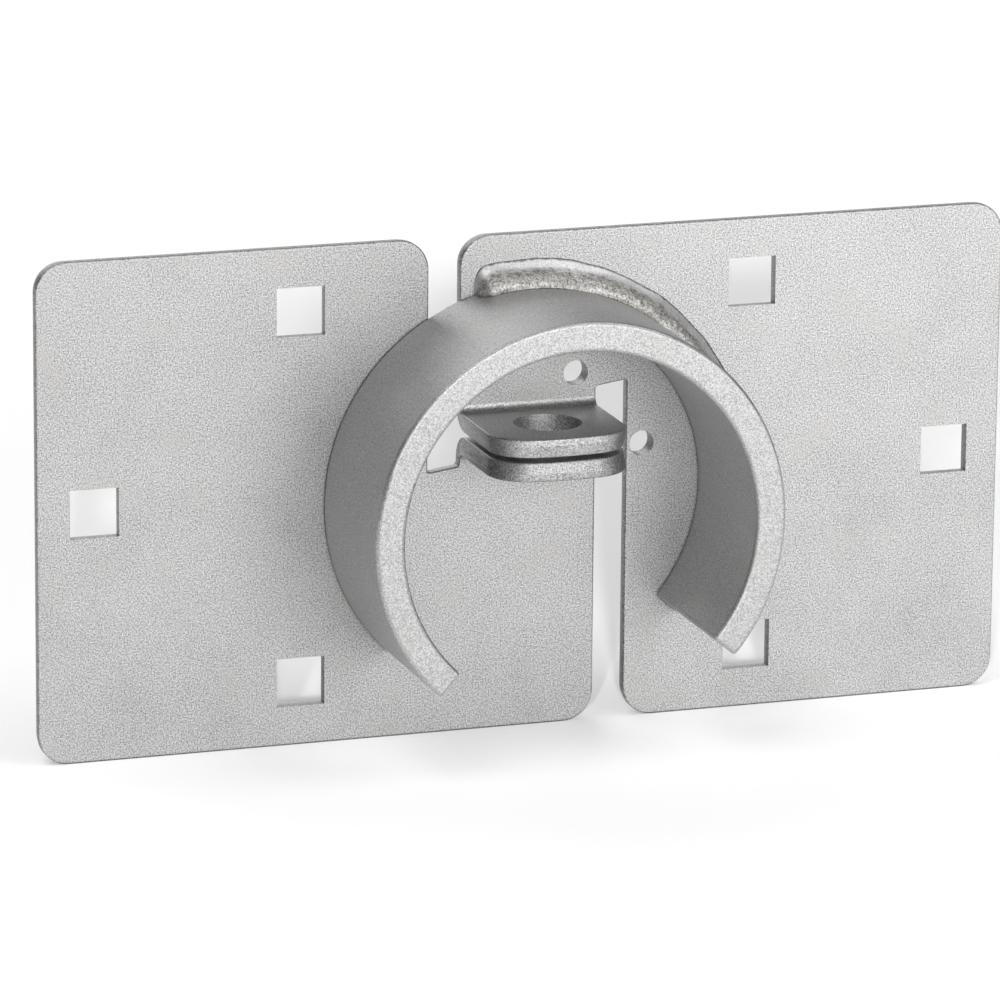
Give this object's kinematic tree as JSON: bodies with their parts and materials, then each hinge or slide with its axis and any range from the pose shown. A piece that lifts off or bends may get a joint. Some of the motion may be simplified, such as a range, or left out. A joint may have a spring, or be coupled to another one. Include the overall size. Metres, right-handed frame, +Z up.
{
  "type": "hasp and staple",
  "caption": "Two-leaf steel hasp for double doors, with overlapping drilled ears inside a welded ring that shrouds a round hidden-shackle padlock.",
  "frame": {"origin": "on the axis of the pin hole, halfway between the two ears", "axes": "+X to the right along the leaves, +Y back through the leaves into the doors, +Z up along the pin hole"},
  "size_m": [0.2118, 0.04, 0.1064],
  "materials": {
    "plated_leaf": "matt zinc plating with a fine mottled grain",
    "plated_bar": "satin zinc plating over rolled bar",
    "weld_metal": "rippled weld, plated over, slightly brown"
  },
  "bodies": {
    "left_half": {"left_plate": "plated_leaf"},
    "right_half": {"right_plate": "plated_leaf", "shroud_ring": "plated_bar", "weld_bead": "weld_metal"}
  },
  "joints": [
    {"name": "halves_part", "type": "slide", "parent": "left_half", "child": "right_half", "axis": [0, -1, 0], "range_m": [0, 0.06]}
  ]
}
